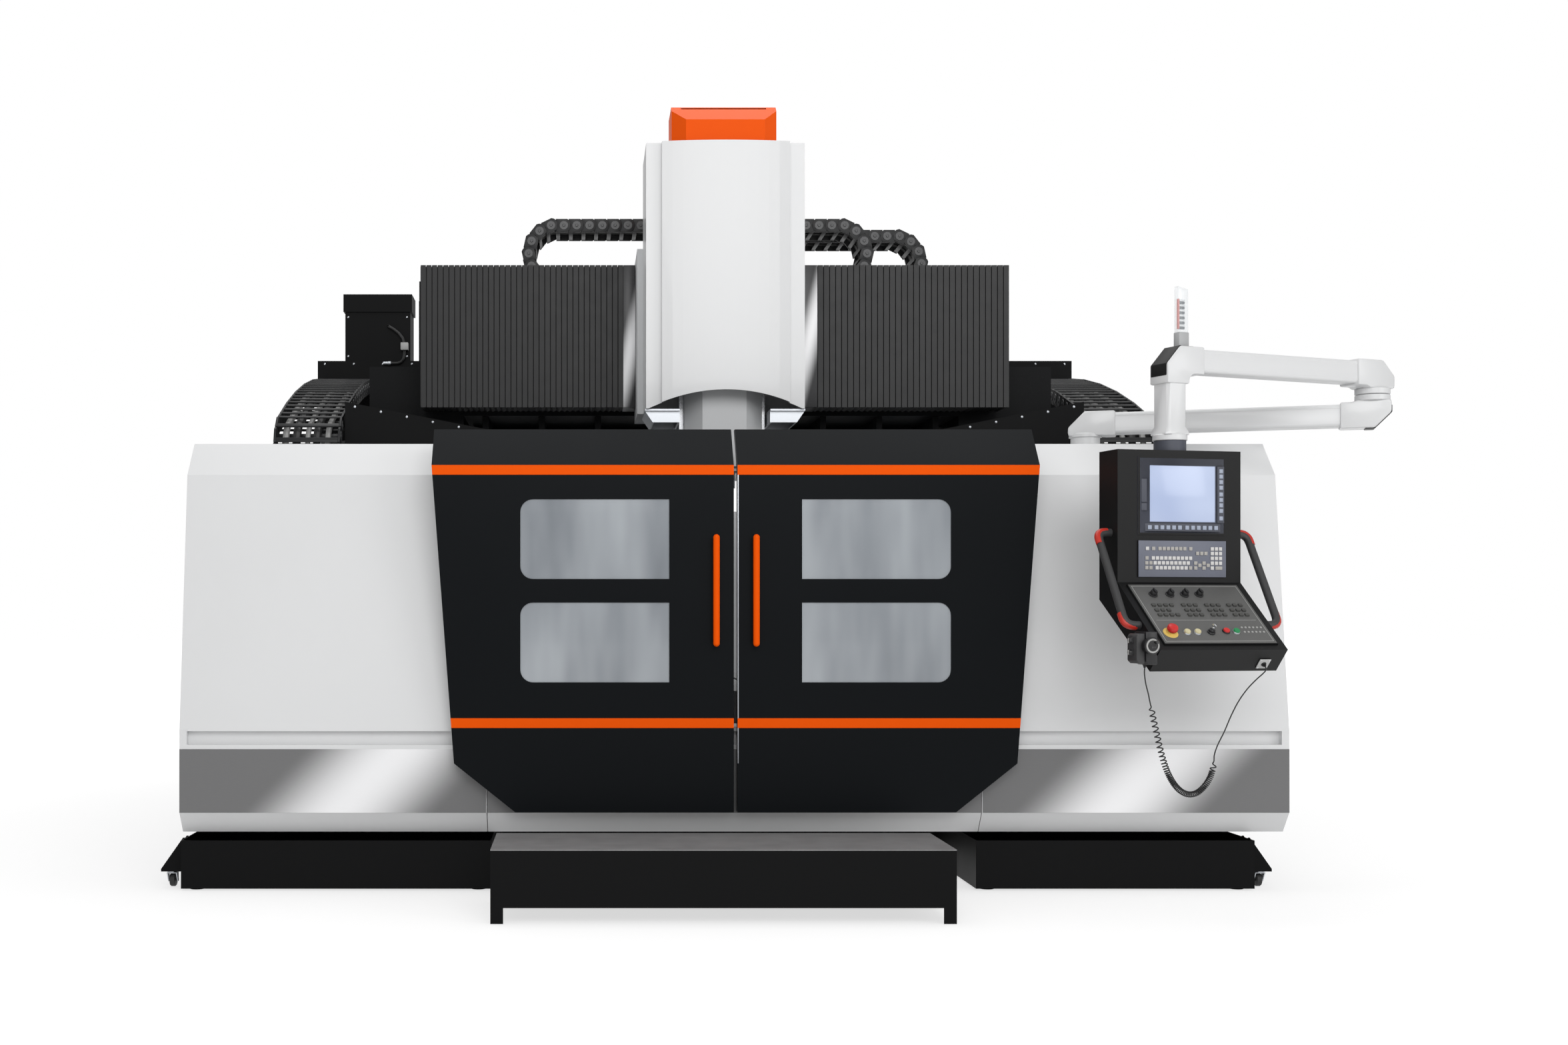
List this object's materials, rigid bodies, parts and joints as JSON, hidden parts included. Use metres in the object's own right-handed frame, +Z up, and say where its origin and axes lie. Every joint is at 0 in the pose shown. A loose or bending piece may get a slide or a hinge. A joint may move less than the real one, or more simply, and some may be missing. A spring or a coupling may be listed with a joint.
{
  "type": "bridge machining center",
  "caption": "Travelling-bridge machining center: fixed T-slot table between walls, sliding front doors, vertical ram with bellows covers, control panel on a swing arm.",
  "frame": {"origin": "floor level under the middle of the table, at the underside of the central levelling pad", "axes": "+X to the operator's right, +Y away from the operator and along the bridge's travel, +Z up"},
  "size_m": [5.4193, 6.5387, 3.591],
  "materials": {
    "cast_dark": "painted casting",
    "cast_black": "painted casting",
    "cast_white": "painted casting, satin",
    "table_iron": "ground",
    "pad_steel": "turned",
    "rail_steel": "ground",
    "nose_steel": "turned",
    "sheet_white": "powder coat, satin",
    "head_white": "satin",
    "arm_white": "satin",
    "brushed_band": "polished sheet",
    "zinc_sheet": "zinc plated",
    "sheet_black": "powder coat, satin",
    "tread_plate": "matt grey",
    "door_black": "gloss",
    "window_glass": "clear, faintly grey",
    "orange_paint": "gloss",
    "bellows_slats": "satin slats",
    "chain_plastic": "moulded",
    "caster_rubber": "matt",
    "lamp_plastic": "clear",
    "box_black": "fine texture",
    "grip_plastic": "moulded",
    "cord_rubber": "matt"
  },
  "bodies": {
    "machine": {"bed": "cast_dark", "levelling_pads": "pad_steel", "side_wall_left": "cast_white", "side_wall_right": "cast_white", "guide_rails": "rail_steel", "work_table": "table_iron", "enclosure_left": "sheet_white", "enclosure_right": "sheet_white", "sill_panel": "sheet_white", "steel_bands": "brushed_band", "rear_panel": "sheet_white", "splash_guards": "zinc_sheet", "cable_troughs": "sheet_black", "coolant_tank_left": "sheet_black", "coolant_tank_right": "sheet_black", "step_frame": "sheet_black", "step_tread": "tread_plate", "arm_base": "arm_white"},
    "bridge": {"crossbeam": "cast_black", "carriage_left": "cast_black", "carriage_right": "cast_black", "front_guards": "sheet_black", "drive_housings": "sheet_black", "bellows_left": "bellows_slats", "bellows_right": "bellows_slats", "side_chain_left": "chain_plastic", "side_chain_right": "chain_plastic"},
    "saddle": {"saddle": "cast_white", "head_cover": "head_white", "head_skirt": "zinc_sheet", "head_cap": "orange_paint", "chain_bracket": "sheet_black", "top_chain_left": "chain_plastic", "top_chain_front": "chain_plastic", "top_chain_rear": "chain_plastic"},
    "ram": {"ram": "cast_white", "ram_rails": "rail_steel", "spindle_nose": "nose_steel"},
    "door_left": {"door_left": "door_black", "door_windows_left": "window_glass", "door_trim_left": "orange_paint"},
    "door_right": {"door_right": "door_black", "door_windows_right": "window_glass", "door_trim_right": "orange_paint"},
    "arm_lower": {"lower_arm": "arm_white", "elbow_cap": "box_black"},
    "arm_upper": {"upper_arm": "arm_white", "post_cap": "box_black", "signal_lamp": "lamp_plastic"},
    "control_panel": {"control_box": "box_black", "control_handles": "grip_plastic", "handwheel": "grip_plastic", "cord_leads": "cord_rubber", "cord_coil": "cord_rubber"},
    "caster_swivel_left": {"caster_fork_left": "zinc_sheet"},
    "caster_swivel_right": {"caster_fork_right": "zinc_sheet"},
    "caster_wheel_left": {"caster_wheel_left": "caster_rubber"},
    "caster_wheel_right": {"caster_wheel_right": "caster_rubber"}
  },
  "joints": [
    {"name": "bridge_slide", "type": "slide", "parent": "machine", "child": "bridge", "axis": [0, 1, 0], "range_m": [0, 2.6]},
    {"name": "saddle_slide", "type": "slide", "parent": "bridge", "child": "saddle", "axis": [1, 0, 0], "range_m": [-0.85, 0.85], "deforming": ["bellows_left", "bellows_right"]},
    {"name": "ram_slide", "type": "slide", "parent": "saddle", "child": "ram", "axis": [0, 0, 1], "range_m": [-0.78, 0]},
    {"name": "door_left_slide", "type": "slide", "parent": "machine", "child": "door_left", "axis": [-1, 0, 0], "range_m": [0, 1.04]},
    {"name": "door_right_slide", "type": "slide", "parent": "machine", "child": "door_right", "axis": [1, 0, 0], "range_m": [0, 1.04]},
    {"name": "arm_base_swing", "type": "hinge", "parent": "machine", "child": "arm_lower", "pos_m": [1.653, -1.58, 2.03], "axis": [0, 0, 1], "range_deg": [-8, 12]},
    {"name": "arm_elbow_swing", "type": "hinge", "parent": "arm_lower", "child": "arm_upper", "pos_m": [2.80792, -1.97002, 2.172], "axis": [0, 0, 1], "range_deg": [0, 70]},
    {"name": "control_panel_swivel", "type": "hinge", "parent": "arm_upper", "child": "control_panel", "pos_m": [1.78114, -2.39953, 1.93], "axis": [0, 0, 1], "range_deg": [-30, 25]},
    {"name": "caster_swivel_left", "type": "hinge", "parent": "machine", "child": "caster_swivel_left", "pos_m": [-2.482, -1.88, 0.072], "axis": [0, 0, 1], "continuous": true},
    {"name": "caster_spin_left", "type": "hinge", "parent": "caster_swivel_left", "child": "caster_wheel_left", "pos_m": [-2.482, -1.862, 0.03], "axis": [1, 0, 0], "continuous": true},
    {"name": "caster_swivel_right", "type": "hinge", "parent": "machine", "child": "caster_swivel_right", "pos_m": [2.342, -1.88, 0.072], "axis": [0, 0, 1], "continuous": true},
    {"name": "caster_spin_right", "type": "hinge", "parent": "caster_swivel_right", "child": "caster_wheel_right", "pos_m": [2.342, -1.862, 0.03], "axis": [1, 0, 0], "continuous": true}
  ]
}
